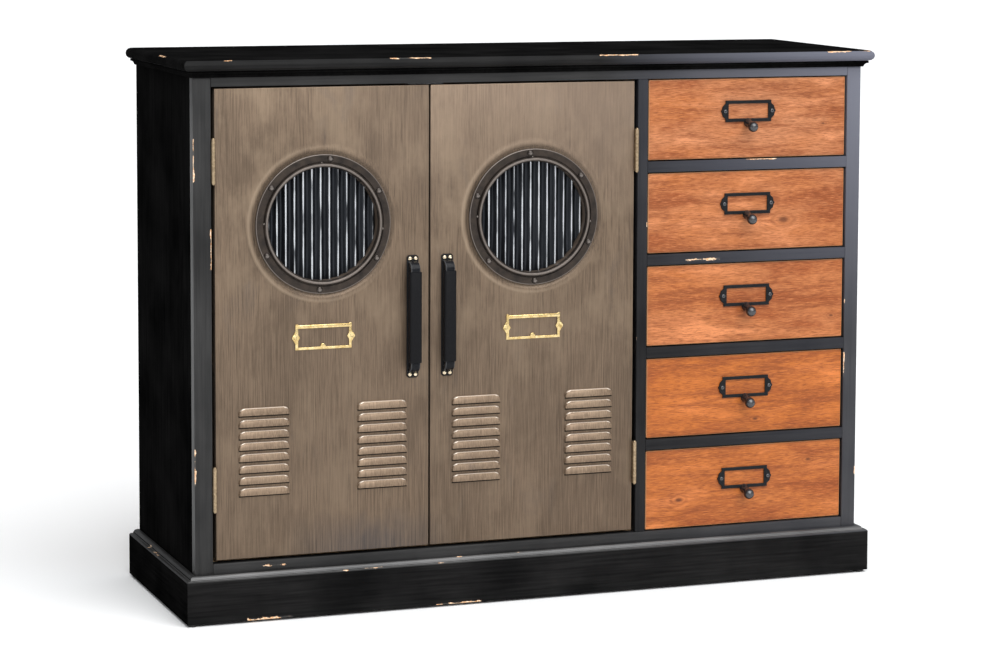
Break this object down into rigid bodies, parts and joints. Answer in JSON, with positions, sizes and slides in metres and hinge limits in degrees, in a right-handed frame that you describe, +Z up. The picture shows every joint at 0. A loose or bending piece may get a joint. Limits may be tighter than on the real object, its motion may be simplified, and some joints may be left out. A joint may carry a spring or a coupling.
{
  "type": "sideboard buffet",
  "caption": "Low cabinet with hinged metal-faced doors bearing round grilled portholes and pressed louvres, beside a column of wooden drawers with label-holder pulls, on a plinth base.",
  "frame": {"origin": "on the floor under the middle of the whole cabinet, pulls included", "axes": "+X to the cabinet's right seen from the front, +Y to its back, +Z up; the doors and drawers face -Y"},
  "size_m": [1.2, 0.4084, 0.9],
  "materials": {
    "black_paint": "black painted softwood, satin, rubbed through to orange-tan wood on edges",
    "bare_pine": "plain planed pine and plywood, unfinished",
    "stained_wood": "orange-brown stained wood with horizontal grain and knots, satin",
    "door_board": "dark stained board behind the metal skin",
    "door_metal": "vertically brushed sheet in a grey-bronze tone, semi-gloss, mottled",
    "dark_bronze": "dark bronze tone, worn brighter on the bead and rim",
    "bare_steel": "bright galvanised corrugated sheet, dark in its grooves",
    "black_iron": "black enamelled casting, semi-gloss",
    "bright_brass": "bright stamped brass, lightly tarnished",
    "aged_brass": "dull aged brass hinges",
    "black_nylon": "black nail-on nylon glides"
  },
  "bodies": {
    "case": {"back_panel": "bare_pine", "bottom_panel": "bare_pine", "cupboard_shelf": "bare_pine", "door_catch": "bare_steel", "drawer_divider_1": "black_paint", "drawer_divider_2": "black_paint", "drawer_divider_3": "black_paint", "drawer_divider_4": "black_paint", "glide_back_left": "black_nylon", "glide_back_right": "black_nylon", "glide_front_left": "black_nylon", "glide_front_right": "black_nylon", "hinge_frame_leaf_left_lower": "aged_brass", "hinge_frame_leaf_left_upper": "aged_brass", "hinge_frame_leaf_right_lower": "aged_brass", "hinge_frame_leaf_right_upper": "aged_brass", "partition": "bare_pine", "plinth_front": "black_paint", "plinth_left": "black_paint", "plinth_right": "black_paint", "rail_bottom": "black_paint", "rail_top": "black_paint", "side_panel_left": "black_paint", "side_panel_right": "black_paint", "stile_centre": "black_paint", "stile_left": "black_paint", "stile_right": "black_paint", "top_board": "black_paint", "top_moulding": "black_paint"},
    "door_left": {"door_core_left": "door_board", "door_pull_left": "black_iron", "door_skin_left": "door_metal", "grille_left": "bare_steel", "hinge_door_leaf_left_lower": "aged_brass", "hinge_door_leaf_left_upper": "aged_brass", "label_frame_left": "bright_brass", "porthole_ring_left": "dark_bronze"},
    "door_right": {"door_core_right": "door_board", "door_pull_right": "black_iron", "door_skin_right": "door_metal", "grille_right": "bare_steel", "hinge_door_leaf_right_lower": "aged_brass", "hinge_door_leaf_right_upper": "aged_brass", "label_frame_right": "bright_brass", "porthole_ring_right": "dark_bronze"},
    "drawer_1": {"drawer_box_1": "bare_pine", "drawer_front_1": "stained_wood", "drawer_label_pull_1": "black_iron"},
    "drawer_2": {"drawer_box_2": "bare_pine", "drawer_front_2": "stained_wood", "drawer_label_pull_2": "black_iron"},
    "drawer_3": {"drawer_box_3": "bare_pine", "drawer_front_3": "stained_wood", "drawer_label_pull_3": "black_iron"},
    "drawer_4": {"drawer_box_4": "bare_pine", "drawer_front_4": "stained_wood", "drawer_label_pull_4": "black_iron"},
    "drawer_5": {"drawer_box_5": "bare_pine", "drawer_front_5": "stained_wood", "drawer_label_pull_5": "black_iron"}
  },
  "joints": [
    {"name": "door_left_hinge", "type": "hinge", "parent": "case", "child": "door_left", "pos_m": [-0.55, -0.18055, 0.4775], "axis": [0, 0, -1], "range_deg": [0, 110]},
    {"name": "door_right_hinge", "type": "hinge", "parent": "case", "child": "door_right", "pos_m": [0.17, -0.18055, 0.4775], "axis": [0, 0, 1], "range_deg": [0, 90]},
    {"name": "drawer_1_slide", "type": "slide", "parent": "case", "child": "drawer_1", "axis": [0, -1, 0], "range_m": [0, 0.26]},
    {"name": "drawer_2_slide", "type": "slide", "parent": "case", "child": "drawer_2", "axis": [0, -1, 0], "range_m": [0, 0.26]},
    {"name": "drawer_3_slide", "type": "slide", "parent": "case", "child": "drawer_3", "axis": [0, -1, 0], "range_m": [0, 0.26]},
    {"name": "drawer_4_slide", "type": "slide", "parent": "case", "child": "drawer_4", "axis": [0, -1, 0], "range_m": [0, 0.26]},
    {"name": "drawer_5_slide", "type": "slide", "parent": "case", "child": "drawer_5", "axis": [0, -1, 0], "range_m": [0, 0.26]}
  ]
}
